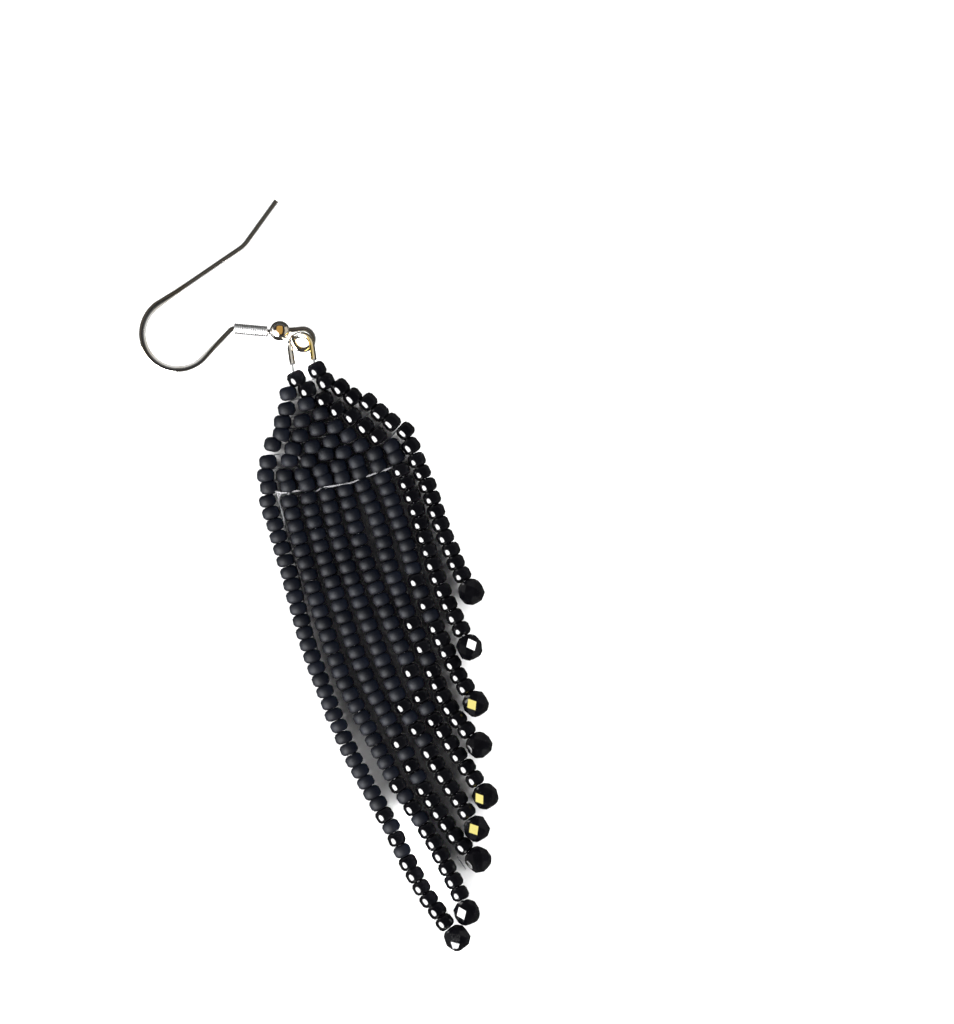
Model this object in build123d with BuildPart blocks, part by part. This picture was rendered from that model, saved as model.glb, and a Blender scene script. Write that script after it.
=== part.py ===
import os
from math import atan, cos, degrees, pi, radians, sin, sqrt, tan

from build123d import *

os.makedirs("parts", exist_ok=True)

# Millimetres. The earring lies face up on z = 0: +Y runs from the fringe to the ear wire, +X to the
# side that the drop beads point to, and the origin is under the middle of the whole piece.

# Woven top: seed beads in rows, with their holes along the fringe. The rows sag in the middle.
bead_diameter = 2.0
bead_length = 1.42
bead_bevel = 0.28
column_pitch = 2.11
web_thickness = 1.0
weave_base_x = 2.61
weave_base_y = 12.45
weave_bearing = 17.5
# Base row first: beads, shift of the row's middle in pitches, spread of its pitch, height in bead
# lengths, slope in degrees, sag in bead lengths at one pitch from its middle
weave_rows = [
    (9, -0.11, 1.0, -0.84, -1.9, 0.053),
    (9, -0.14, 1.0, 0.0, -1.0, 0.068),
    (8, -0.17, 0.99, 1.08, -0.6, 0.087),
    (7, -0.19, 1.0, 2.07, -0.6, 0.13),
    (6, -0.15, 1.0, 3.23, 2.8, 0.134),
    (5, -0.31, 1.0, 4.41, 1.9, 0.125),
    (4, -0.34, 1.03, 5.56, 3.7, 0.146),
    (3, -0.53, 1.06, 6.71, 0.2, 0.158),
    (2, -0.32, 1.21, 7.91, 6.0, 0.0),
]

# Wire guard: a U of fine tube through the eye, its feet at the two top beads
guard_tube_diameter = 0.68
guard_bore = 0.4
guard_opening = 1.86
guard_leg_length = 2.0
guard_gap = 0.71
guard_shift = 0.12
guard_bearing = 8.5
guard_pitch = -14.2
guard_roll = 13.5
guard_rise = 0.115

# Thread from one top bead through the guard to the other
thread_diameter = 0.26
thread_gap = 0.18
thread_lead = 0.2
thread_bend_radius = 0.2

# Ear wire, from its free tip round the bend to the eye. Headings are degrees from the shank's line.
wire_diameter = 0.62
tail_length = 6.35
tail_heading = 19.9
tail_bend_radius = 3.0
shank_length = 11.8
bend_radius = 4.05
flat_width = 1.05
flat_thickness = 0.42
flat_roll = 42
flat_blend_length = 2.6
run_length = 4.68
run_heading = 11.9
coil_heading = -39.6
neck_heading = -29.3
neck_length = 1.43
kink_radius = 0.6
eye_drop = 20.0
eye_twist = 3.7
eye_opening = 1.8
eye_wrap = 294

# Where the ear wire lies: how the eye holds the guard, and the way the shank points
eye_shift = 0.37
eye_overlap = 0.02
shank_bearing = 34.3
shank_height = 0.48
hook_lean = 3.7

# Coil and ball on the ear wire
bore_clearance = 0.05
coil_start_gap = 0.2
coil_length = 3.95
coil_wire_diameter = 0.27
coil_groove_depth = 0.09
ball_diameter = 2.25
kink_gap = 0.12

# Fringe strands, leftmost first: the chosen points of each route after it leaves the woven top.
# The last point of a route is the middle of its drop bead. The gaps are the bare thread under the
# woven top, before the first bead of each strand.
strand_gaps = [0.28, 0.3, 0.15, 0.3, 0.15, 0.12, 0.15, 0.12, 0.2]
strand_routes = [
    [(-4.7, 4.7), (-3.1, -0.8), (-1.7, -6.4), (0.1, -11.9), (2.8, -18.4), (4.7, -22.3),
     (6.5, -25.5), (8.0, -28.1), (9.3, -31.0), (11.0, -34.3), (13.2, -37.9), (15.7, -41.1)],
    [(-2.3, 4.3), (-0.8, -1.1), (0.9, -6.6), (2.8, -12.0), (5.6, -17.3), (8.3, -22.7),
     (11.0, -27.0), (12.9, -29.7), (14.4, -32.8), (15.7, -35.5), (16.8, -38.2)],
    [(-0.2, 4.7), (1.6, -0.9), (3.3, -6.1), (5.3, -11.7), (8.1, -16.6), (10.6, -21.8),
     (12.7, -25.5), (14.6, -28.2), (16.1, -30.5), (18.1, -32.2)],
    [(2.2, 4.1), (3.9, -1.0), (5.9, -6.1), (8.0, -11.6), (9.9, -15.5), (12.3, -19.3),
     (13.8, -22.3), (15.9, -25.4), (17.9, -28.7)],
    [(4.5, 4.1), (6.3, -1.0), (8.7, -6.5), (10.3, -10.4), (12.1, -15.0), (14.0, -17.5),
     (15.6, -20.0), (17.2, -22.4), (18.9, -25.0)],
    [(6.8, 6.3), (7.7, 2.3), (9.0, -1.7), (10.6, -5.5), (12.4, -9.4), (13.9, -13.5),
     (15.9, -16.5), (18.2, -19.2)],
    [(8.8, 7.2), (10.1, 3.1), (11.1, -0.7), (12.9, -4.9), (14.4, -8.5), (16.0, -11.6),
     (17.8, -14.5)],
    [(10.3, 9.8), (11.8, 5.2), (13.0, 1.0), (14.3, -2.3), (15.7, -5.3), (17.1, -8.1)],
    [(12.2, 10.7), (13.4, 7.0), (14.8, 3.3), (16.0, 0.5), (17.3, -1.8)],
]

# Faceted drop beads
drop_diameter = 3.0
drop_length = 2.7
drop_hole_diameter = 0.6
drop_gap = 0.12
facet_count = 7
shoulder_slope = 20
crown_slope = 50
drop_turn = 19


def ahead(point, heading, length):
    """The place reached from a 2D point by going a length along a heading."""
    return (point[0] + length * cos(radians(heading)), point[1] + length * sin(radians(heading)))


# One bead of the woven top: a barrel with bevelled rims, its hole axis along y
with BuildPart() as bead_barrel:
    with BuildSketch() as barrel_half:
        with BuildLine():
            Polyline(
                (0, -bead_length / 2),
                (bead_diameter / 2 - bead_bevel, -bead_length / 2),
                (bead_diameter / 2, bead_bevel - bead_length / 2),
                (bead_diameter / 2, bead_length / 2 - bead_bevel),
                (bead_diameter / 2 - bead_bevel, bead_length / 2),
                (0, bead_length / 2),
                close=True,
            )
        make_face()
    revolve(axis=Axis.Y)

# Woven top: the barrels row on row, joined by a web through their middles
weave_plane = Plane(
    origin=(weave_base_x, weave_base_y, bead_diameter / 2),
    x_dir=(cos(radians(weave_bearing)), sin(radians(weave_bearing)), 0),
)


def bead_seat(row, column):
    """The place and turn of a woven bead, in the plane of the woven top."""
    count, shift, spread, height, slope, sag = weave_rows[row]
    step = column - (count - 1) / 2
    across = column_pitch * (shift + spread * step)
    up = bead_length * (height + sag * step**2) + column_pitch * spread * step * tan(radians(slope))
    turn = slope + degrees(atan(2 * sag * step * bead_length / (column_pitch * spread)))
    return Location((across, up, 0), (0, 0, turn))


def bead_end(row, column, reach):
    """A point on a woven bead's hole axis, a reach from its middle."""
    return weave_plane.from_local_coords((bead_seat(row, column) * Location((0, reach, 0))).position)


row_counts = [row[0] for row in weave_rows]
row_ends = [bead_seat(row, count - 1).position for row, count in enumerate(row_counts)]
row_starts = [bead_seat(row, 0).position for row in range(1, len(row_counts))]
with BuildPart(weave_plane) as bead_weave:
    with BuildSketch(weave_plane):
        with BuildLine():
            base_row = [bead_seat(0, column).position for column in range(row_counts[0] - 1)]
            outline = base_row + row_ends + row_starts[::-1]
            Polyline(*[(spot.X, spot.Y) for spot in outline], close=True)
        make_face()
    extrude(amount=web_thickness / 2, both=True)
    for row, count in enumerate(row_counts):
        with Locations(*[bead_seat(row, column) for column in range(count)]):
            add(bead_barrel.part)
bead_weave.part.label = "bead_weave"

# The ear wire's own points, from the middle of its bend
eye_radius = (eye_opening + wire_diameter) / 2
lean = radians(hook_lean)
bearing = radians(shank_bearing)
hook_turn = Plane(
    origin=(0, 0, 0),
    x_dir=(cos(bearing), sin(bearing), 0),
    z_dir=(-sin(bearing) * sin(lean), cos(bearing) * sin(lean), cos(lean)),
)
bend_start = (0, bend_radius)
bend_end = ahead((0, 0), run_heading - 90, bend_radius)
round_start = (flat_blend_length, bend_radius)
round_end = ahead(bend_end, run_heading, flat_blend_length)
tail_kink = (shank_length, bend_radius)
tail_tip = ahead(tail_kink, tail_heading, tail_length)
coil_kink = ahead(bend_end, run_heading, run_length)
coil_start = ahead(coil_kink, coil_heading, coil_start_gap)
neck_kink = ahead(coil_start, coil_heading, coil_length + kink_gap)
ball_reach = sqrt((ball_diameter / 2) ** 2 - (wire_diameter / 2 + bore_clearance) ** 2)
ball_centre = ahead(neck_kink, neck_heading, kink_gap + ball_reach)
drop_kink = ahead(ball_centre, neck_heading, ball_reach + kink_gap)


def hook_way(heading):
    """The direction of a heading in the hook's plane."""
    return hook_turn.x_dir * cos(radians(heading)) + hook_turn.y_dir * sin(radians(heading))


# The eye's plane: its x goes on along the neck, which dips after the ball
eye_turn = Plane(
    hook_turn.from_local_coords(drop_kink), x_dir=hook_way(neck_heading), z_dir=hook_turn.z_dir
)
eye_turn = eye_turn.rotated((0, eye_drop, 0)).rotated((eye_twist, 0, 0))
eye_reach = eye_turn.from_local_coords((neck_length, -eye_radius))

# The guard's plane, and the ear wire's place: in plan the eye just covers the top of the guard's bend
guard_bend_radius = (guard_opening + guard_tube_diameter) / 2
guard_turn = Plane(
    origin=(0, 0, 0), x_dir=(cos(radians(guard_bearing)), sin(radians(guard_bearing)), 0)
).rotated((guard_pitch, -guard_roll, 0))
top_row = len(weave_rows) - 1
guard_foot = (bead_end(top_row, 0, bead_length / 2) + bead_end(top_row, 1, bead_length / 2)) / 2
guard_foot += weave_plane.y_dir * guard_gap + weave_plane.x_dir * guard_shift
arch_middle = guard_foot + guard_turn.y_dir * guard_leg_length
guard_top = guard_bend_radius * cos(radians(guard_pitch))
eye_hold = (wire_diameter + guard_tube_diameter) / 2 - eye_overlap
eye_over = guard_top + eye_hold - eye_radius
eye_x = arch_middle.X + eye_shift * cos(radians(guard_bearing)) - eye_over * sin(radians(guard_bearing))
eye_y = arch_middle.Y + eye_shift * sin(radians(guard_bearing)) + eye_over * cos(radians(guard_bearing))
hook_height = shank_height + bend_radius * sin(lean)
hook_plane = Plane(
    origin=(eye_x - eye_reach.X, eye_y - eye_reach.Y, hook_height),
    x_dir=hook_turn.x_dir,
    z_dir=hook_turn.z_dir,
)
hook_axis = Axis(hook_plane.origin, hook_plane.z_dir)
eye_plane = Plane(eye_turn.origin + hook_plane.origin, x_dir=eye_turn.x_dir, z_dir=eye_turn.z_dir)
guard_plane = Plane(
    origin=(arch_middle.X, arch_middle.Y, hook_height + eye_reach.Z + guard_rise),
    x_dir=guard_turn.x_dir,
    z_dir=guard_turn.z_dir,
)


def wire_plane(point, heading, roll=0):
    """A plane across the ear wire, facing the way of travel, its x turned from the hook's normal."""
    x_dir = hook_plane.z_dir * cos(radians(roll)) + hook_way(heading - 90) * sin(radians(roll))
    return Plane(hook_plane.from_local_coords(point), x_dir=x_dir, z_dir=hook_way(heading))


def eye_point(angle):
    """A point of the eye's ring, an angle on from where the neck meets it."""
    across = neck_length + eye_radius * sin(radians(angle))
    return eye_plane.from_local_coords((across, eye_radius * (cos(radians(angle)) - 1)))


# Wire guard: two whole legs, and a bend that is a channel open on its outer side
guard_tops = [guard_plane.from_local_coords((side * guard_bend_radius, 0)) for side in (-1, 1)]
guard_crown = guard_plane.from_local_coords((0, guard_bend_radius))
with BuildPart() as wire_guard:
    for leg_top in guard_tops:
        with BuildSketch(Plane(leg_top, x_dir=guard_plane.x_dir, z_dir=-guard_plane.y_dir)):
            Circle(guard_tube_diameter / 2)
            Circle(guard_bore / 2, mode=Mode.SUBTRACT)
        extrude(amount=guard_leg_length)
    with BuildSketch(Plane(guard_tops[1], x_dir=guard_plane.x_dir, z_dir=guard_plane.y_dir)):
        Circle(guard_tube_diameter / 2)
        Circle(guard_bore / 2, mode=Mode.SUBTRACT)
        Rectangle(
            guard_tube_diameter, guard_bore, align=(Align.MIN, Align.CENTER), mode=Mode.SUBTRACT
        )
    revolve(axis=Axis(guard_plane.origin, guard_plane.z_dir), revolution_arc=180)
wire_guard.part.label = "wire_guard"

# Thread: out of the left top bead, through the guard and into the right one
thread_reach = bead_length / 2 + thread_gap
leg_lead = guard_plane.y_dir * (guard_leg_length + thread_lead)
with BuildPart() as top_thread:
    with BuildLine() as thread_path:
        left_end = bead_end(top_row, 0, thread_reach)
        right_end = bead_end(top_row, 1, thread_reach)
        FilletPolyline(left_end, guard_tops[0] - leg_lead, guard_tops[0], radius=thread_bend_radius)
        ThreePointArc(guard_tops[0], guard_crown, guard_tops[1])
        FilletPolyline(guard_tops[1], guard_tops[1] - leg_lead, right_end, radius=thread_bend_radius)
    thread_line = thread_path.wires()[0]
    with BuildSketch(Plane(thread_line @ 0, z_dir=thread_line % 0)):
        Circle(thread_diameter / 2)
    sweep(path=thread_line)
top_thread.part.label = "top_thread"

# Ear wire: tail, shank, flattened bend, run, neck and eye
with BuildPart() as ear_wire:
    with BuildLine(hook_plane) as tail_path:
        FilletPolyline(tail_tip, tail_kink, round_start, radius=tail_bend_radius)
    with BuildSketch(wire_plane(tail_tip, tail_heading + 180)):
        Circle(wire_diameter / 2)
    sweep(path=tail_path.wires()[0])
    with BuildSketch(wire_plane(round_start, 180, flat_roll)):
        Circle(wire_diameter / 2)
    with BuildSketch(wire_plane(bend_start, 180, flat_roll)):
        Ellipse(flat_width / 2, flat_thickness / 2)
    loft()
    with BuildSketch(wire_plane(bend_start, 180, flat_roll)):
        Ellipse(flat_width / 2, flat_thickness / 2)
    revolve(axis=hook_axis, revolution_arc=180 + run_heading)
    with BuildSketch(wire_plane(bend_end, run_heading, flat_roll)):
        Ellipse(flat_width / 2, flat_thickness / 2)
    with BuildSketch(wire_plane(round_end, run_heading, flat_roll)):
        Circle(wire_diameter / 2)
    loft()
    with BuildLine() as eye_path:
        corners = [hook_plane.from_local_coords(spot) for spot in (round_end, coil_kink, neck_kink)]
        FilletPolyline(*corners, eye_plane.origin, eye_point(0), radius=kink_radius)
        ThreePointArc(eye_point(0), eye_point(eye_wrap / 2), eye_point(eye_wrap))
    with BuildSketch(wire_plane(round_end, run_heading)):
        Circle(wire_diameter / 2)
    sweep(path=eye_path.wires()[0])
ear_wire.part.label = "ear_wire"
straight_tail = tail_length - tail_bend_radius * tan(radians(tail_heading / 2))
tail_middle = hook_plane.from_local_coords(ahead(tail_tip, tail_heading, -straight_tail / 2))
print("straight tail", round(straight_tail, 2), "middle", tail_middle, "way", hook_way(tail_heading))
print("bend centre", hook_plane.origin, "ball", hook_plane.from_local_coords(ball_centre))

# Coil: a sleeve of revolution round the wire, with one rounded ridge for each turn
coil_turns = round(coil_length / coil_wire_diameter)
coil_pitch = coil_length / coil_turns
coil_bore = wire_diameter / 2 + bore_clearance
coil_crest = coil_bore + coil_wire_diameter
coil_valley = coil_crest - coil_groove_depth
coil_plane = Plane(
    hook_plane.from_local_coords(coil_start), x_dir=hook_way(coil_heading), z_dir=hook_plane.z_dir
)
with BuildPart() as wire_coil:
    with BuildSketch(coil_plane):
        with BuildLine():
            Polyline(
                (0, coil_valley), (0, coil_bore), (coil_length, coil_bore), (coil_length, coil_valley)
            )
            for turn in range(coil_turns):
                ThreePointArc(
                    (turn * coil_pitch, coil_valley),
                    ((turn + 0.5) * coil_pitch, coil_crest),
                    ((turn + 1) * coil_pitch, coil_valley),
                )
        make_face()
    revolve(axis=Axis(coil_plane.origin, coil_plane.x_dir))
wire_coil.part.label = "wire_coil"

# Ball, bored for the wire
with BuildPart(wire_plane(ball_centre, neck_heading)) as wire_ball:
    Sphere(ball_diameter / 2)
    Hole(wire_diameter / 2 + bore_clearance)
wire_ball.part.label = "wire_ball"


def corner_radii(points):
    """The largest arc that each corner of a route takes: 0.45 of its shorter run on either side."""
    radii = []
    for before, corner, after in zip(points, points[1:], points[2:]):
        turn = radians((corner - before).get_angle(after - corner))
        shorter = min((corner - before).length, (after - corner).length)
        radii.append(0.45 * shorter / tan(turn / 2))
    return radii


# One drop bead: rings of flat facets ground on a short rod, with a table at each end
half_facet = 180 / facet_count
shoulder_height = (1 - cos(radians(half_facet)) ** 2) * drop_diameter / 2 / tan(radians(shoulder_slope))
belt_reach = drop_diameter / 2 * cos(radians(half_facet))
shoulder_reach = drop_diameter / 2 * cos(radians(shoulder_slope))
crown_reach = belt_reach * cos(radians(crown_slope)) + shoulder_height * sin(radians(crown_slope))
with BuildPart() as drop_blank:
    Cylinder(drop_diameter / 2, drop_length)
    for facet in range(facet_count):
        for slope, reach, start in (
            (0, belt_reach, 0),
            (shoulder_slope, shoulder_reach, half_facet),
            (-shoulder_slope, shoulder_reach, half_facet),
            (crown_slope, crown_reach, 0),
            (-crown_slope, crown_reach, 0),
        ):
            way = radians(start + facet * 360 / facet_count)
            rise = radians(slope)
            facing = Vector(cos(way) * cos(rise), sin(way) * cos(rise), sin(rise))
            split(bisect_by=Plane(origin=facing * reach, z_dir=facing), keep=Keep.BOTTOM)
    Hole(drop_hole_diameter / 2)

# Strands and their drop beads
for number, (gap, route) in enumerate(zip(strand_gaps, strand_routes), 1):
    name = f"strand_{number}"
    start = bead_end(0, number - 1, -bead_length / 2 - gap)
    drop_centre = Vector(*route[-1], drop_diameter / 2)
    points = [start] + [Vector(*spot, bead_diameter / 2) for spot in route[:-1]]
    last_run = (drop_centre - points[-1]).normalized()
    points.append(drop_centre - last_run * (drop_length / 2 + drop_gap))
    radii = corner_radii(points)
    with BuildPart() as strand:
        with BuildLine() as strand_path:
            FilletPolyline(*points, radius=radii)
        line = strand_path.wires()[0]
        with BuildSketch(Plane(line @ 0, z_dir=line % 0)):
            Circle(bead_diameter / 2)
        sweep(path=line)
    strand.part.label = name
    export_step(strand.part, f"parts/{name}.step")
    share = strand.part.volume / (pi * (bead_diameter / 2) ** 2 * line.length)
    print(name, "length", round(line.length, 2), "volume to section x length", round(share, 4))
    print("  radii", [round(radius, 1) for radius in radii])
    with BuildPart(Plane(drop_centre, x_dir=last_run.cross(Vector(0, 0, 1)), z_dir=last_run)) as drop:
        with Locations(Rotation(0, 0, number * drop_turn)):
            add(drop_blank.part)
    drop.part.label = f"drop_bead_{number}"
    export_step(drop.part, f"parts/drop_bead_{number}.step")

export_step(ear_wire.part, "parts/ear_wire.step")
export_step(wire_coil.part, "parts/wire_coil.step")
export_step(wire_ball.part, "parts/wire_ball.step")
export_step(wire_guard.part, "parts/wire_guard.step")
export_step(top_thread.part, "parts/top_thread.step")
export_step(bead_weave.part, "parts/bead_weave.step")
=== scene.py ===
# The beaded fringe earring, lying face up on a white table
import math
import random

import bpy
from mathutils import Matrix, Vector


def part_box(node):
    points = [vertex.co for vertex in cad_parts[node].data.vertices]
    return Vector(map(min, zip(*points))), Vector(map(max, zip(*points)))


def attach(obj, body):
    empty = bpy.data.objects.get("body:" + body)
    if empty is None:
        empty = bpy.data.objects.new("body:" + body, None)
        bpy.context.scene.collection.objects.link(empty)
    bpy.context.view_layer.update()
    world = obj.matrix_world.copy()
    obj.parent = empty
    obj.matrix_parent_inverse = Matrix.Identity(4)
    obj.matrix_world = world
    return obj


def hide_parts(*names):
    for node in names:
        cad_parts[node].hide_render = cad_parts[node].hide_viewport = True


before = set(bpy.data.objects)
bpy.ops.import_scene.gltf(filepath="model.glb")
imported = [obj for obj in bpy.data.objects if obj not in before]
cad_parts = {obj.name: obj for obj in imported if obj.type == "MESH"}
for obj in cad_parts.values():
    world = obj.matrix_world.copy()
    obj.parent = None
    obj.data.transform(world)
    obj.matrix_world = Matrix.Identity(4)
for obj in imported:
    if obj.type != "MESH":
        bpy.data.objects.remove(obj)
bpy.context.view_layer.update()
mm = 0.001
random.seed(11)

# the camera looks straight down at the middle of the photo, from a distance above the beads
photoView = {
    "middle": (17.95, 7.27),
    "beadHeight": 1,
    "frameHeight": 116.4,
    "distance": 620,
    "sensor": 24,
}
cameraData = bpy.data.cameras.new("photoCamera")
cameraData.sensor_fit = "VERTICAL"
cameraData.sensor_height = photoView["sensor"]
cameraData.lens = photoView["sensor"] * photoView["distance"] / photoView["frameHeight"]
cameraData.clip_start = 0.01
camera = bpy.data.objects.new("photoCamera", cameraData)
cameraHeight = photoView["distance"] + photoView["beadHeight"]
camera.location = Vector((*photoView["middle"], cameraHeight)) * mm
bpy.context.collection.objects.link(camera)
bpy.context.scene.camera = camera
print("camera set")


def newMaterial(name):
    material = bpy.data.materials.new(name)
    material.use_nodes = True
    tree = material.node_tree
    return material, tree.nodes, tree.links, tree.nodes["Principled BSDF"]


def addNoise(nodes, links, scale, detail=2.0):
    # a noise on the piece's own coordinates, and what it gives
    where = nodes.new("ShaderNodeTexCoord")
    noise = nodes.new("ShaderNodeTexNoise")
    noise.inputs["Scale"].default_value = scale
    noise.inputs["Detail"].default_value = detail
    links.new(where.outputs["Object"], noise.inputs["Vector"])
    return noise.outputs["Fac"]


def addBump(nodes, links, height, shader, look):
    # a look's bump is its strength, and its depth in mm
    strength, depth = look["bump"]
    bump = nodes.new("ShaderNodeBump")
    bump.inputs["Strength"].default_value = strength
    bump.inputs["Distance"].default_value = depth * mm
    links.new(height, bump.inputs["Height"])
    links.new(bump.outputs["Normal"], shader.inputs["Normal"])


def addRange(nodes, links, value, low, high):
    spread = nodes.new("ShaderNodeMapRange")
    spread.inputs["To Min"].default_value = low
    spread.inputs["To Max"].default_value = high
    links.new(value, spread.inputs["Value"])
    return spread.outputs["Result"]


def addMix(nodes, links, factor, low, high):
    mix = nodes.new("ShaderNodeMix")
    mix.data_type = "RGBA"
    mix.inputs["A"].default_value = (*low, 1)
    mix.inputs["B"].default_value = (*high, 1)
    links.new(factor, mix.inputs["Factor"])
    return mix.outputs["Result"]


# frosted blue black glass, glossy black glass and the faceted drops
matteLook = {
    "dark": (0.0007, 0.001, 0.0022),
    "light": (0.0018, 0.0024, 0.0046),
    "grain": 9000,
    "roughness": (0.56, 0.68),
    "bump": (0.35, 0.02),
    "index": 1.5,
    "specular": 0.19,
}
glossLook = {
    "dark": (0.0008, 0.0008, 0.0012),
    "light": (0.0018, 0.0018, 0.0024),
    "grain": 1400,
    "roughness": (0.054, 0.135),
    "bump": (0.25, 0.03),
    "index": 1.56,
    "specular": 0.5,
}
facetLook = dict(glossLook, grain=500, roughness=(0.027, 0.0675), index=1.7)


def makeGlass(name, look):
    # each bead, a loose island of the mesh, gets its own tone
    material, nodes, links, shader = newMaterial(name)
    island = nodes.new("ShaderNodeNewGeometry").outputs["Random Per Island"]
    tone = addMix(nodes, links, island, look["dark"], look["light"])
    links.new(tone, shader.inputs["Base Color"])
    grain = addNoise(nodes, links, look["grain"])
    links.new(addRange(nodes, links, grain, *look["roughness"]), shader.inputs["Roughness"])
    addBump(nodes, links, grain, shader, look)
    shader.inputs["IOR"].default_value = look["index"]
    shader.inputs["Specular IOR Level"].default_value = look["specular"]
    return material


# polished silver, a little tarnished, with fine draw marks
silverLook = {
    "bright": (0.66, 0.65, 0.63),
    "tarnish": (0.44, 0.39, 0.31),
    "tarnishFrom": (0.5, 0.75),
    "cloud": 260,
    "cloudDetail": 4.0,
    "marks": 2600,
    "roughness": (0.06, 0.18),
    "bump": (0.12, 0.02),
}
# the coil's fine wire is brighter and less polished
coilLook = dict(
    silverLook, bright=(0.9, 0.9, 0.9), tarnish=(0.7, 0.69, 0.67), roughness=(0.24, 0.36)
)
# the guard has a painted yellow reflection on its right leg
guardLook = dict(
    silverLook,
    bright=(0.8, 0.79, 0.77),
    stain=(0.6, 0.44, 0.14),
    stainAt=(-1.45, 24.9, 1.2),
    stainReach=(1.15, 3.2, 3.0),
    stainFade=0.35,
)


def addPaintedReflection(nodes, links, colour, look):
    # a soft round painted reflection about one place of the piece
    where = nodes.new("ShaderNodeTexCoord")
    centre = nodes.new("ShaderNodeMapping")
    centre.vector_type = "TEXTURE"
    centre.inputs["Location"].default_value = Vector(look["stainAt"]) * mm
    centre.inputs["Scale"].default_value = Vector(look["stainReach"]) * mm
    ball = nodes.new("ShaderNodeTexGradient")
    ball.gradient_type = "SPHERICAL"
    strength = nodes.new("ShaderNodeMapRange")
    strength.inputs["From Max"].default_value = look["stainFade"]
    stained = nodes.new("ShaderNodeMix")
    stained.data_type = "RGBA"
    stained.inputs["B"].default_value = (*look["stain"], 1)
    links.new(where.outputs["Object"], centre.inputs["Vector"])
    links.new(centre.outputs["Vector"], ball.inputs["Vector"])
    links.new(ball.outputs["Fac"], strength.inputs["Value"])
    links.new(strength.outputs["Result"], stained.inputs["Factor"])
    links.new(colour, stained.inputs["A"])
    return stained.outputs["Result"]


def makeSilver(name, look):
    material, nodes, links, shader = newMaterial(name)
    cloud = addNoise(nodes, links, look["cloud"], look["cloudDetail"])
    tarnish = nodes.new("ShaderNodeMapRange")
    tarnish.inputs["From Min"].default_value = look["tarnishFrom"][0]
    tarnish.inputs["From Max"].default_value = look["tarnishFrom"][1]
    links.new(cloud, tarnish.inputs["Value"])
    colour = addMix(nodes, links, tarnish.outputs["Result"], look["bright"], look["tarnish"])
    # a soft yellow patch of painted reflection, where the look has one
    if "stain" in look:
        colour = addPaintedReflection(nodes, links, colour, look)
    links.new(colour, shader.inputs["Base Color"])
    marks = addNoise(nodes, links, look["marks"])
    links.new(addRange(nodes, links, marks, *look["roughness"]), shader.inputs["Roughness"])
    addBump(nodes, links, marks, shader, look)
    shader.inputs["Metallic"].default_value = 1.0
    return material


# nylon thread, with darker tones down to a share of its colour
threadLook = {
    "colour": (0.52, 0.52, 0.54),
    "darkShare": 0.6,
    "twist": 5200,
    "bump": (0.6, 0.03),
    "roughness": 0.55,
    "sheen": 0.3,
}
# where it runs through the wire guard the same nylon is painted much darker, a painted shade that
# reads grey on the bright table
shadedThreadLook = dict(threadLook, colour=(0.045, 0.045, 0.043))


def makeThreadFinish(name, look):
    material, nodes, links, shader = newMaterial(name)
    fibre = addNoise(nodes, links, look["twist"])
    dark = [tone * look["darkShare"] for tone in look["colour"]]
    links.new(addMix(nodes, links, fibre, dark, look["colour"]), shader.inputs["Base Color"])
    addBump(nodes, links, fibre, shader, look)
    shader.inputs["Roughness"].default_value = look["roughness"]
    shader.inputs["Sheen Weight"].default_value = look["sheen"]
    return material


matteGlass = makeGlass("frostedGlass", matteLook)
glossGlass = makeGlass("glossGlass", glossLook)
facetGlass = makeGlass("facetGlass", facetLook)
silver = makeSilver("silver", silverLook)
coilSilver = makeSilver("coilSilver", coilLook)
guardSilver = makeSilver("guardSilver", guardLook)
threadFinish = makeThreadFinish("nylonThread", threadLook)
shadedThreadFinish = makeThreadFinish("topThreadPaintedShade", shadedThreadLook)
print("finishes made")


def clearSelection():
    for thing in bpy.context.selected_objects:
        thing.select_set(False)


def joinPieces(pieces, name):
    clearSelection()
    for piece in pieces:
        piece.select_set(True)
    bpy.context.view_layer.objects.active = pieces[0]
    bpy.ops.object.join()
    pieces[0].name = name
    pieces[0].data.name = name
    return pieces[0]


def placeCopy(master, where):
    copied = bpy.data.objects.new(master.name + "Copy", master.data.copy())
    copied.data.transform(where)
    bpy.context.collection.objects.link(copied)
    return copied


# one seed bead, its hole along z; the profile runs from the hole over the rim to the belt, as
# shares of the wall's thickness and of half the length
seedBead = {
    "sides": 12,
    "diameter": 2.13,
    "hole": 0.8,
    "mouth": 0.74,
    "matteProfile": [(0.18, 0.99), (0.6, 0.84), (0.93, 0.46)],
    "glossProfile": [(0.24, 1.0), (0.67, 0.86), (0.97, 0.47)],
    "matteLength": 1.45,
    "glossLength": 1.6,
}
beadRadius = seedBead["diameter"] / 2


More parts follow.
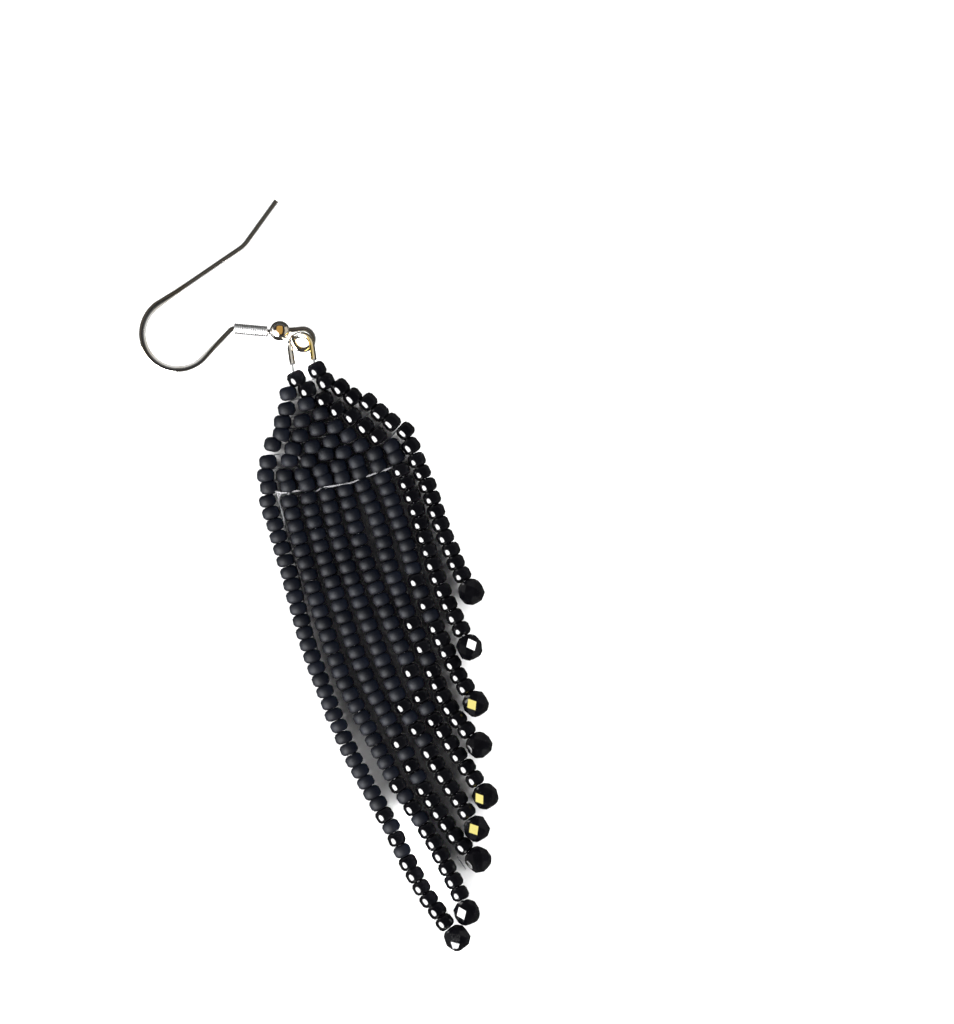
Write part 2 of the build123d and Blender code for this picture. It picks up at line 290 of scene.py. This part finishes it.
def makeSeed(name, profile, length, finish):
    half = length / 2
    hole = seedBead["hole"] / 2
    wall = beadRadius - hole
    upper = [(hole + wall * share, half * height) for share, height in profile]
    lower = [(radius, -height) for radius, height in reversed(upper)]
    mouth = half * seedBead["mouth"]
    clearSelection()
    bpy.ops.mesh.primitive_circle_add(
        vertices=seedBead["sides"], radius=hole * mm, location=(0, 0, mouth * mm)
    )
    seed = bpy.context.object
    bpy.ops.object.transform_apply(location=True, rotation=True, scale=True)
    bpy.ops.object.mode_set(mode="EDIT")
    bpy.ops.mesh.select_all(action="SELECT")
    radius, height = hole, mouth
    for nextRadius, nextHeight in upper + lower + [(hole, -mouth)]:
        grow = nextRadius / radius
        bpy.ops.mesh.extrude_region_move(
            TRANSFORM_OT_translate={"value": (0, 0, (nextHeight - height) * mm)}
        )
        bpy.ops.transform.resize(value=(grow, grow, 1), center_override=(0, 0, 0))
        radius, height = nextRadius, nextHeight
    bpy.ops.mesh.select_all(action="DESELECT")
    bpy.ops.mesh.select_mode(type="EDGE")
    bpy.ops.mesh.select_non_manifold()
    bpy.ops.mesh.bridge_edge_loops()
    bpy.ops.mesh.select_all(action="SELECT")
    bpy.ops.mesh.normals_make_consistent(inside=False)
    bpy.ops.object.mode_set(mode="OBJECT")
    bpy.ops.object.shade_smooth()
    seed.name = name
    seed.data.materials.append(finish)
    return seed


matteSeed = makeSeed("matteSeed", seedBead["matteProfile"], seedBead["matteLength"], matteGlass)
glossSeed = makeSeed("glossSeed", seedBead["glossProfile"], seedBead["glossLength"], glossGlass)


# the small differences that real beads have: degrees of tilt, shares of width and length, and mm
# up and aside
chance = {
    "tilt": (-3.5, 3.5),
    "wide": (-0.035, 0.005),
    "long": (-0.05, 0.03),
    "lift": (0.0, 0.06),
    "aside": (-0.05, 0.05),
}


def seatFor(place, along, wander=1.0, stretch=1.0):
    # where a bead sits, its hole along the thread; wander is how much of the chance it takes
    facing = along.to_track_quat("Z", "X").to_matrix().to_4x4()
    lean = Matrix.Rotation(math.radians(random.uniform(*chance["tilt"])) * wander, 4, "X")
    sway = Matrix.Rotation(math.radians(random.uniform(*chance["tilt"])) * wander, 4, "Y")
    spin = Matrix.Rotation(random.uniform(0, math.tau), 4, "Z")
    wide = 1 + random.uniform(*chance["wide"]) * wander
    long = stretch * (1 + random.uniform(*chance["long"]) * wander)
    size = Matrix.Diagonal((wide, wide, long, 1))
    return Matrix.Translation(place) @ facing @ lean @ sway @ spin @ size


def addCurve(points, name, steps):
    # a smooth curve by points in metres; the spline takes its steps from the curve when it is made
    curve = bpy.data.curves.new(name, "CURVE")
    curve.dimensions = "3D"
    curve.resolution_u = steps
    spline = curve.splines.new("NURBS")
    spline.points.add(len(points) - 1)
    for spot, point in zip(spline.points, points):
        spot.co = (*point, 1)
    spline.order_u = 3
    spline.use_endpoint_u = True
    holder = bpy.data.objects.new(name, curve)
    bpy.context.collection.objects.link(holder)
    return holder


def threadTube(points, thickness, name):
    # a round thread along smooth points
    thread = addCurve(points, name, 3)
    thread.data.bevel_depth = thickness / 2 * mm
    thread.data.bevel_resolution = 1
    thread.data.use_fill_caps = True
    clearSelection()
    thread.select_set(True)
    bpy.context.view_layer.objects.active = thread
    bpy.ops.object.convert(target="MESH")
    thread.data.materials.append(threadFinish)
    bpy.ops.object.shade_smooth()
    return thread


# the woven top, charted row by row from the base: the middle of each bead, and how many at the
# right end of each row are glossy
weave = {
    "rows": [
        [(-5.74, 10.06), (-3.52, 10.23), (-1.36, 10.4), (0.68, 10.91), (2.61, 11.25), (4.66, 11.76),
         (6.76, 12.56), (8.75, 13.52), (10.45, 14.77)],
        [(-6.08, 11.42), (-3.92, 11.42), (-1.88, 11.53), (0.17, 11.99), (2.22, 12.44),
         (4.26, 12.95), (6.36, 13.86), (8.24, 14.72), (9.83, 16.48)],
        [(-5.8, 12.95), (-3.35, 13.13), (-1.19, 13.07), (0.8, 13.86), (2.78, 14.03), (4.77, 14.83),
         (6.65, 15.91), (8.24, 17.5)],
        [(-5.28, 14.94), (-2.95, 14.43), (-0.74, 14.66), (1.36, 15.28), (3.3, 15.97), (5.23, 16.99),
         (6.88, 18.58)],
        [(-4.26, 16.08), (-2.16, 15.91), (-0.17, 16.7), (1.82, 16.93), (3.75, 18.18),
         (5.57, 19.77)],
        [(-4.15, 17.5), (-1.93, 17.61), (0.23, 18.47), (2.05, 18.92), (3.81, 20.34)],
        [(-3.69, 18.98), (-1.42, 19.55), (0.57, 20.11), (2.42, 21.42)],
        [(-3.52, 20.74), (-1.36, 21.19), (0.74, 22.1)],
        [(-2.58, 22.44), (-0.23, 23.47)],
    ],
    "glossy": [1, 1, 2, 2, 2, 2, 2, 2, 2],
    "wander": 0.8,
    "stretch": 1.1,
}


def weaveSeat(row, column):
    # a bead's middle, and the way its hole points: square to the line of its row
    spots = weave["rows"][row]
    left = Vector(spots[max(column - 1, 0)])
    right = Vector(spots[min(column + 1, len(spots) - 1)])
    line = (right - left).normalized()
    return Vector((*spots[column], beadRadius)) * mm, Vector((-line.y, line.x, 0))


def buildWeave():
    beads = []
    for row, (spots, glossy) in enumerate(zip(weave["rows"], weave["glossy"])):
        for column in range(len(spots)):
            master = glossSeed if column >= len(spots) - glossy else matteSeed
            place, along = weaveSeat(row, column)
            lift = Vector((0, 0, random.uniform(*chance["lift"]) * mm))
            seat = seatFor(place + lift, along, weave["wander"], weave["stretch"])
            beads.append(placeCopy(master, seat))
    return joinPieces(beads, "wovenTop")


wovenTop = buildWeave()
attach(wovenTop, "root")
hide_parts("bead_weave")
print("woven top done")

# the fringe strands, leftmost first: where the stringing leaves the woven top, the route's points
# with the middle of the drop bead last, and the matte beads before the mixed end; the thread
# follows every twelfth point of the strand's line
strands = {
    "dropHeight": 1.5,
    "dropReach": 1.47,
    "mattePitch": 1.42,
    "glossPitch": 1.6,
    "lineSteps": 24,
    "thread": 0.3,
    "threadEvery": 12,
    "starts": [(-6.1, 9.2), (-3.52, 9.18), (-1.31, 9.55), (0.77, 9.89), (2.81, 10.41),
               (4.71, 10.93), (6.96, 11.74), (8.97, 12.81), (10.72, 13.88)],
    "routes": [
        [(-4.7, 4.7), (-3.1, -0.8), (-1.7, -6.4), (0.1, -11.9), (2.8, -18.4), (4.7, -22.3),
         (6.5, -25.5), (8.0, -28.1), (9.3, -31.0), (11.0, -34.3), (13.2, -37.9), (15.7, -41.1)],
        [(-2.3, 4.3), (-0.8, -1.1), (0.9, -6.6), (2.8, -12.0), (5.6, -17.3), (8.3, -22.7),
         (11.0, -27.0), (12.9, -29.7), (14.4, -32.8), (15.7, -35.5), (16.8, -38.2)],
        [(-0.2, 4.7), (1.6, -0.9), (3.3, -6.1), (5.3, -11.7), (8.1, -16.6), (10.6, -21.8),
         (12.7, -25.5), (14.6, -28.2), (16.1, -30.5), (18.1, -32.2)],
        [(2.2, 4.1), (3.9, -1.0), (5.9, -6.1), (8.0, -11.6), (9.9, -15.5), (12.3, -19.3),
         (13.8, -22.3), (15.9, -25.4), (17.9, -28.7)],
        [(4.5, 4.1), (6.3, -1.0), (8.7, -6.5), (10.3, -10.4), (12.1, -15.0), (14.0, -17.5),
         (15.6, -20.0), (17.2, -22.4), (18.9, -25.0)],
        [(6.8, 6.3), (7.7, 2.3), (9.0, -1.7), (10.6, -5.5), (12.4, -9.4), (13.9, -13.5),
         (15.9, -16.5), (18.2, -19.2)],
        [(8.8, 7.2), (10.1, 3.1), (11.1, -0.7), (12.9, -4.9), (14.4, -8.5), (16.0, -11.6),
         (17.8, -14.5)],
        [(10.3, 9.8), (11.8, 5.2), (13.0, 1.0), (14.3, -2.3), (15.7, -5.3), (17.1, -8.1)],
        [(12.2, 10.7), (13.4, 7.0), (14.8, 3.3), (16.0, 0.5), (17.3, -1.8)],
    ],
    "matteBeads": [27, 24, 21, 18, 15, 12, 9],
    "mixedEnd": "gmgmgggggg",
    "glossOnly": {8: 13, 9: 10},
}


def beadOrder(number):
    # g for glossy and m for matte, from the woven top down
    if number in strands["glossOnly"]:
        return "g" * strands["glossOnly"][number]
    return "m" * strands["matteBeads"][number - 1] + strands["mixedEnd"]


def smoothRoute(points):
    # the strand's line: a smooth spline along its route, read back as close points
    holder = addCurve(points, "route", strands["lineSteps"])
    bpy.context.view_layer.update()
    line = [vertex.co.copy() for vertex in bpy.data.meshes.new_from_object(holder).vertices]
    bpy.data.objects.remove(holder)
    return line


def pointAt(line, distance):
    # the place at a distance along the line, and the line's heading there
    for here, there in zip(line, line[1:]):
        step = (there - here).length
        if distance <= step and step > 0:
            return here.lerp(there, distance / step), (there - here).normalized()
        distance -= step
    return line[-1].copy(), (line[-1] - line[-2]).normalized()


def buildStrand(number):
    route = strands["routes"][number - 1]
    middle = Vector((*route[-1], strands["dropHeight"])) * mm
    spots = [strands["starts"][number - 1]] + route[:-1]
    points = [Vector((*spot, beadRadius)) * mm for spot in spots]
    lastRun = (middle - points[-1]).normalized()
    points.append(middle - lastRun * strands["dropReach"] * mm)
    line = smoothRoute(points)
    length = sum((b - a).length for a, b in zip(line, line[1:]))
    order = beadOrder(number)
    pitches = [strands["glossPitch"] if kind == "g" else strands["mattePitch"] for kind in order]
    # the pitches are spread or drawn together a little, so that the beads fill the line
    fit = length / (sum(pitches) * mm)
    beads = []
    reached = 0.0
    for kind, pitch in zip(order, pitches):
        spot, along = pointAt(line, (reached + pitch / 2) * fit * mm)
        aside = Vector((-along.y, along.x, 0)) * random.uniform(*chance["aside"]) * mm
        master = glossSeed if kind == "g" else matteSeed
        beads.append(placeCopy(master, seatFor(spot + aside, along)))
        reached += pitch
    piece = joinPieces(beads, f"strand{number}")
    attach(piece, "root")
    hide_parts(f"strand_{number}")
    print("strand", number, "beads", len(order), "fit", round(fit, 3))
    foot = weaveSeat(0, number - 1)[0]
    stringPoints = [foot] + line[::strands["threadEvery"]] + [line[-1], middle]
    return threadTube(stringPoints, strands["thread"], "strandThread")


threads = [buildStrand(number) for number in range(1, 10)]

# the thread that shows: along the seam under the base row, over the beads near it, and two loose
# ends, beside the drop beads and down between the first two strands; the points are x, y and z. A
# loop ends and bends at distances from the beads' middles
stitches = {
    "thickness": {"seam": 0.18, "over": 0.18, "loose": 0.15},
    "loopThickness": 0.16,
    "loopHeight": 0.8,
    "loopEnd": 0.5,
    "loopBend": 0.8,
    "seam": [
        [(-5.5, 9.8, 1.0), (-5.3, 9.66, 1.5), (-4.43, 9.45, 1.55), (-3.52, 9.5, 1.5),
         (-3.18, 9.6, 1.5), (-2.16, 9.68, 1.5), (-1.7, 9.9, 1.1)],
        [(-4.75, 9.5, 1.45), (-4.62, 9.0, 1.35), (-4.6, 8.4, 1.2), (-4.5, 7.9, 0.9)],
        [(-4.35, 9.45, 1.45), (-4.58, 8.9, 1.35), (-4.55, 8.3, 1.1)],
        [(-0.6, 9.45, 1.1), (-0.2, 9.65, 1.45), (0.2, 10.0, 1.3)],
        [(0.5, 10.1, 1.1), (0.8, 10.18, 1.5), (1.5, 10.17, 1.5), (2.16, 10.36, 1.5),
         (2.95, 10.46, 1.5), (3.75, 10.58, 1.5), (4.32, 10.85, 1.5), (5.0, 11.25, 1.5),
         (5.8, 11.42, 1.5), (6.48, 11.72, 1.5), (6.93, 11.84, 1.5), (7.61, 12.07, 1.5),
         (8.07, 12.24, 1.45), (8.64, 12.52, 1.3)],
        [(9.2, 13.18, 1.2), (9.9, 13.55, 1.45), (10.68, 13.98, 1.2)],
    ],
    "over": [
        [(-2.7, 13.75, 1.1), (-2.35, 13.45, 1.4), (-1.7, 13.1, 1.3), (-1.5, 12.9, 1.1)],
        [(9.35, 15.5, 1.2), (9.45, 14.9, 1.5), (9.5, 14.2, 1.2)],
    ],
    "loose": [
        [(15.7, -31.9, 1.0), (16.0, -32.3, 0.6), (16.25, -32.8, 0.3), (16.7, -33.4, 0.16)],
        [(-4.55, 8.5, 1.2), (-4.2, 7.6, 1.45), (-3.9, 5.8, 1.4), (-3.6, 4.6, 0.4),
         (-2.4, 0.3, 0.25), (-1.95, -1.6, 0.3), (-1.75, -3.0, 0.5), (-1.3, -4.6, 0.6),
         (-0.85, -6.2, 0.6), (-0.5, -7.4, 0.6), (0.0, -9.0, 0.4)],
    ],
}
for kind, thickness in stitches["thickness"].items():
    for points in stitches[kind]:
        threads.append(threadTube([Vector(point) * mm for point in points], thickness, kind))


def onHole(row, column, reach):
    # a place on a woven bead's hole axis, a reach from the bead's middle
    place, along = weaveSeat(row, column)
    return place + along * reach * mm


# a loop from hole to hole between each two neighbours of a row
for row, spots in enumerate(weave["rows"]):
    for column in range(len(spots) - 1):
        ends = [onHole(row, side, stitches["loopEnd"]) for side in (column, column + 1)]
        bends = [onHole(row, side, stitches["loopBend"]) for side in (column, column + 1)]
        for bend in bends:
            bend.z = stitches["loopHeight"] * mm
        threads.append(threadTube([ends[0], *bends, ends[1]], stitches["loopThickness"], "loop"))
stringing = joinPieces(threads, "stringing")
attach(stringing, "root")
print("thread done")

# the coil: fine wire wound round the ear wire, where the frame has its sleeve; bearing and rise
# are the way it points, in degrees, and the bore is a radius
coil = {
    "wire": 0.27,
    "sides": 8,
    "turns": 14.6,
    "stepsPerTurn": 16,
    "length": 3.95,
    "bore": 0.36,
    "bearing": -5.3,
    "rise": 2.4,
}


def buildCoil():
    low, high = [Vector(corner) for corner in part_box("wire_coil")]
    radius = coil["bore"] + coil["wire"] / 2
    # from the middle of the wire at one end to its middle at the other
    run = (coil["length"] - coil["wire"]) * mm
    clearSelection()
    bpy.ops.mesh.primitive_circle_add(
        vertices=coil["sides"], radius=coil["wire"] / 2 * mm, location=(radius * mm, 0, 0),
        rotation=(math.pi / 2, 0, 0),
    )
    winding = bpy.context.object
    bpy.ops.object.transform_apply(location=True, rotation=True, scale=True)
    screw = winding.modifiers.new("winding", "SCREW")
    screw.axis = "Z"
    screw.angle = math.tau * coil["turns"]
    screw.screw_offset = run
    screw.steps = round(coil["turns"] * coil["stepsPerTurn"])
    screw.render_steps = screw.steps
    screw.use_smooth_shade = True
    bpy.ops.object.modifier_apply(modifier=screw.name)
    bpy.ops.object.mode_set(mode="EDIT")
    bpy.ops.mesh.select_all(action="DESELECT")
    bpy.ops.mesh.select_mode(type="EDGE")
    bpy.ops.mesh.select_non_manifold()
    bpy.ops.mesh.edge_face_add()
    bpy.ops.mesh.select_all(action="SELECT")
    bpy.ops.mesh.normals_make_consistent(inside=False)
    bpy.ops.object.mode_set(mode="OBJECT")
    bearing, rise = math.radians(coil["bearing"]), math.radians(coil["rise"])
    way = Vector((math.cos(bearing), math.sin(bearing), math.tan(rise))).normalized()
    start = (low + high) / 2 - way * run / 2
    facing = way.to_track_quat("Z", "Y").to_matrix().to_4x4()
    winding.data.transform(Matrix.Translation(start) @ facing)
    winding.name = "coilWinding"
    winding.data.materials.append(coilSilver)
    return winding


coilWinding = buildCoil()
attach(coilWinding, "root")
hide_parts("wire_coil")
print("coil done")

for seed in (matteSeed, glossSeed):
    bpy.data.objects.remove(seed)

# the pieces carried over from the frame keep their shapes and get their finishes
metalAndThread = {
    "ear_wire": silver,
    "wire_ball": silver,
    "wire_guard": guardSilver,
    # the thread through the guard takes the nylon with painted shade
    "top_thread": shadedThreadFinish,
}
for name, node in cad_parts.items():
    finish = facetGlass if name.startswith("drop_bead") else metalAndThread.get(name)
    if finish:
        node.data.materials.clear()
        node.data.materials.append(finish)
print("carried over pieces finished")

# the white table, a little below the lowest bead; its side is in metres
tableTop = {"side": 3, "below": 0.03, "colour": (0.92, 0.92, 0.92, 1), "roughness": 0.8}
clearSelection()
bpy.ops.mesh.primitive_plane_add(size=tableTop["side"], location=(0, 0, -tableTop["below"] * mm))
table = bpy.context.object
table.name = "table"
tableFinish, _, _, tableShader = newMaterial("whiteTable")
tableShader.inputs["Base Color"].default_value = tableTop["colour"]
tableShader.inputs["Roughness"].default_value = tableTop["roughness"]
table.data.materials.append(tableFinish)
table.visible_glossy = False  # the metal and glass mirror the room's grey instead of the lit table

# lights that only show as glints, and the pieces that each is on or off for; bearing and height
# are in degrees, sizes and distances in mm
studioMiddle = (2, 0)
studio = {
    "window": {"bearing": 222, "height": 31, "far": 420, "size": (420, 460), "power": 11,
               "shape": "ELLIPSE", "off": [f"drop_bead_{number}" for number in range(4, 10)]},
    "card": {"bearing": 195, "height": 24, "far": 420, "size": (500, 400), "power": 1.3,
             "on": ["wire_ball", "wire_guard", "coilWinding"]},
    "ceiling": {"bearing": 90, "height": 80, "far": 400, "size": (700, 700), "power": 1.4,
                "on": ["wire_guard", "coilWinding"]},
    "gold": {"bearing": 90, "height": 80, "far": 400, "size": (1000, 600), "power": 1.75,
             "tint": (1, 0.58, 0.13), "on": ["wire_ball"]},
    "ballLeft": {"bearing": 187, "height": -14, "far": 300, "size": (360, 330), "power": 0.45,
                 "on": ["wire_ball"], "shadowOf": ["wire_ball"]},
    "ballRight": {"bearing": 2, "height": 2, "far": 300, "size": (300, 420), "power": 0.32,
                  "tint": (1, 0.93, 0.8), "on": ["wire_ball"], "shadowOf": ["wire_ball"]},
    "brown": {"bearing": 20, "height": 75, "far": 400, "size": (520, 520), "power": 0.07,
              "tint": (1, 0.82, 0.6), "on": ["ear_wire"]},
    "below": {"bearing": 0, "height": -90, "far": 5, "size": (400, 400), "power": 0.48,
              "on": ["ear_wire"], "shadowOf": ["ear_wire"]},
    "lampLeft": {"bearing": 183, "height": 57, "far": 420, "size": (130, 130), "power": 0.75,
                 "tint": (1, 0.88, 0.28), "on": ["drop_bead_4", "drop_bead_7"]},
    "lampLow": {"bearing": 200, "height": 27, "far": 420, "size": (180, 180), "power": 1.45,
                "tint": (1, 0.88, 0.28), "on": ["drop_bead_5"]},
    "lampRight": {"bearing": 57, "height": 55, "far": 420, "size": (130, 130), "power": 1.2,
                  "on": ["drop_bead_8"]},
    "lampTop": {"bearing": 169, "height": 71, "far": 420, "size": (130, 130), "power": 1.2,
                "on": ["drop_bead_1"]},
}
# lights low round the sides, none of which looks along the gaps between the strands; a light with
# noGlints shows in no reflection, so it lights the table
tableLights = {"height": 18, "far": 700, "size": (320, 220), "power": 5.6, "noGlints": True}
for bearing in (335, 0, 30, 65, 152, 185, 215, 245):
    studio[f"table{bearing}"] = dict(tableLights, bearing=bearing)
# small lamps close over the table, inside the eye and guard and between the first two strands
closeLamps = {"far": 3.8, "height": 90, "spread": 100, "noGlints": True}
studio["lampHead"] = dict(closeLamps, bearing=0, aim=(-2.2, 25.4), size=(4, 5), power=0.0005)
studio["lampDim"] = dict(closeLamps, bearing=-62, aim=(5.9, -21.2), size=(8, 0.8), power=0.000012)
studio["lampGap"] = dict(closeLamps, bearing=-62, aim=(11.9, -32.2), size=(12, 1.2), power=0.0005)
lit = dict(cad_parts, coilWinding=coilWinding)


def gatherPieces(name, pieces):
    group = bpy.data.collections.new(name)
    for piece in pieces:
        group.objects.link(lit[piece])
    return group


for name, lamp in studio.items():
    data = bpy.data.lights.new(name, "AREA")
    data.shape = lamp.get("shape", "RECTANGLE")
    data.size = lamp["size"][0] * mm
    data.size_y = lamp["size"][1] * mm
    data.energy = lamp["power"]
    data.color = lamp.get("tint", (1, 1, 1))
    data.spread = math.radians(lamp.get("spread", 180))
    light = bpy.data.objects.new(name, data)
    turn = Matrix.Rotation(math.radians(lamp["bearing"]), 4, "Z")
    tip = Matrix.Rotation(math.radians(90 - lamp["height"]), 4, "Y")
    reach = Matrix.Translation((0, 0, lamp["far"] * mm))
    aim = Matrix.Translation(Vector((*lamp.get("aim", studioMiddle), 0)) * mm)
    light.matrix_world = aim @ turn @ tip @ reach
    light.visible_camera = False
    light.visible_glossy = "noGlints" not in lamp
    light.visible_diffuse = "noGlints" in lamp
    bpy.context.collection.objects.link(light)
    if "on" in lamp or "off" in lamp:
        group = gatherPieces(name, lamp.get("on", lamp.get("off")))
        if "off" in lamp:
            for member in group.collection_objects:
                member.light_linking.link_state = "EXCLUDE"
        light.light_linking.receiver_collection = group
    if "shadowOf" in lamp:
        light.light_linking.blocker_collection = gatherPieces(name + "Blockers", lamp["shadowOf"])

# a room that is dark overhead and grey at the horizon: how high each tone lies, and the tone
roomTones = {
    "below": (0.0, (0.07, 0.068, 0.062, 1)),
    "horizon": (0.04, (0.22, 0.22, 0.22, 1)),
    "overhead": (0.45, (0.03, 0.03, 0.033, 1)),
}
room = bpy.data.worlds.new("room")
room.use_nodes = True
bpy.context.scene.world = room
roomNodes = room.node_tree.nodes
roomLinks = room.node_tree.links
way = roomNodes.new("ShaderNodeTexCoord")
parts = roomNodes.new("ShaderNodeSeparateXYZ")
shade = roomNodes.new("ShaderNodeValToRGB")
lowest, highest = shade.color_ramp.elements
lowest.position, lowest.color = roomTones["below"]
highest.position, highest.color = roomTones["overhead"]
horizon = shade.color_ramp.elements.new(roomTones["horizon"][0])
horizon.color = roomTones["horizon"][1]
roomLinks.new(way.outputs["Generated"], parts.inputs["Vector"])
roomLinks.new(parts.outputs["Z"], shade.inputs["Fac"])
roomLinks.new(shade.outputs["Color"], roomNodes["Background"].inputs["Color"])
bpy.context.scene.view_settings.view_transform = "Standard"
print("light and table set")
